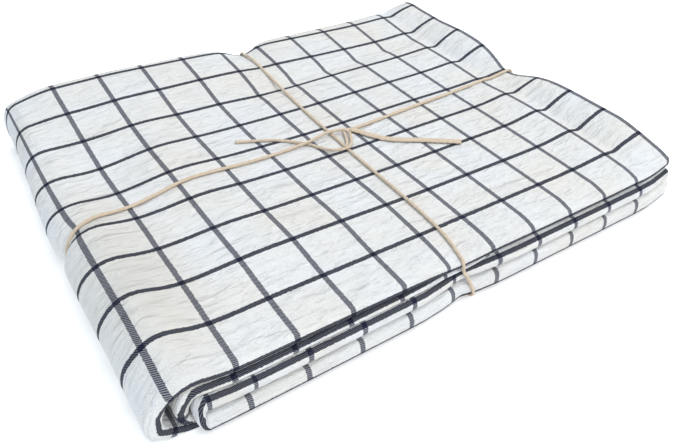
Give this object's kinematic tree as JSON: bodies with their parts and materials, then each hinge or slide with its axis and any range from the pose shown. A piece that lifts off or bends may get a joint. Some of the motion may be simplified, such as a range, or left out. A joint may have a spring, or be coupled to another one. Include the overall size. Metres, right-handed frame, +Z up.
{
  "type": "folded tablecloth",
  "caption": "Cotton tablecloth with a dark windowpane check, folded into a flat packet and tied crosswise with thin twine, knotted on top.",
  "frame": {"origin": "middle of the folded cloth's underside, on the surface it rests on", "axes": "+X along the packet's length towards the raised rim, -Y towards its front folds, +Z up"},
  "size_m": [0.2978, 0.2384, 0.0374],
  "materials": {
    "cotton": "matt plain weave with a dark check",
    "twine": "matt, fibrous, natural tan"
  },
  "bodies": {
    "root": {"cloth": "cotton", "twine_lengthwise": "twine", "twine_crosswise": "twine", "twine_knot": "twine", "twine_end_left": "twine", "twine_end_right": "twine"}
  },
  "joints": []
}
